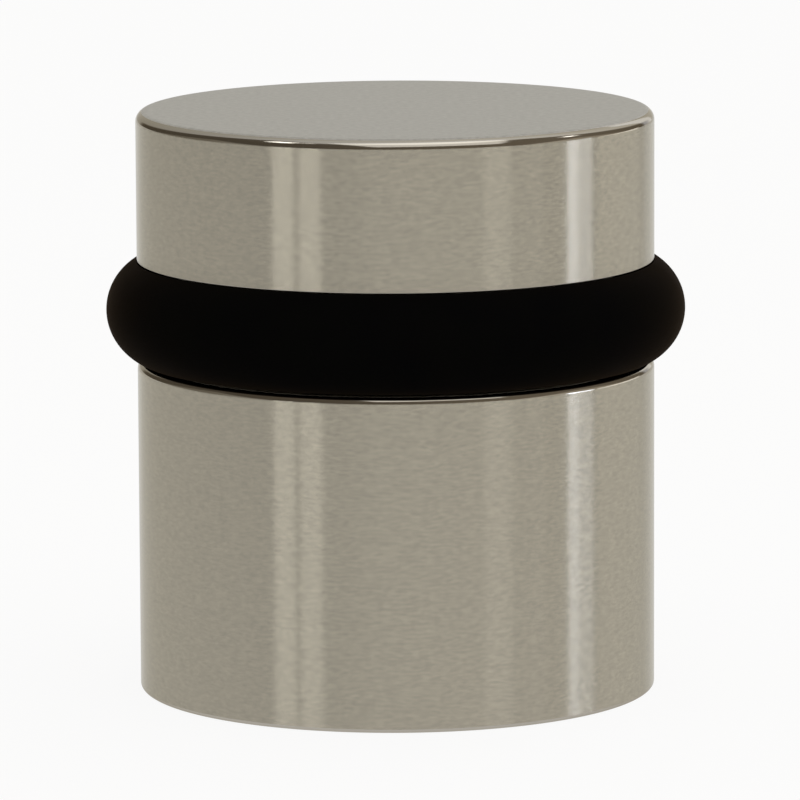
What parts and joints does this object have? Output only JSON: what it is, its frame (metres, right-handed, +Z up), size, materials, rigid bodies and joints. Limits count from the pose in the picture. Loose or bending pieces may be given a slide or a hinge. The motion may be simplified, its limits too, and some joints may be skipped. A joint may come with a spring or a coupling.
{
  "type": "cylindrical floor door stop",
  "caption": "Floor door stop: a satin metal cylinder in two screwed halves with a squeezed black rubber ring that the door meets.",
  "frame": {"origin": "centre of the underside, in the plane that stands on the floor", "axes": "+Z up along the axis of turning; every direction round it is the same"},
  "size_m": [0.0448, 0.0448, 0.045],
  "materials": {
    "satin_nickel": "satin, finely turned sides and faces, polished rounded top edges",
    "black_rubber": "moulded, matt to satin"
  },
  "bodies": {
    "root": {"base": "satin_nickel", "cap": "satin_nickel", "rubber_ring": "black_rubber"}
  },
  "joints": []
}
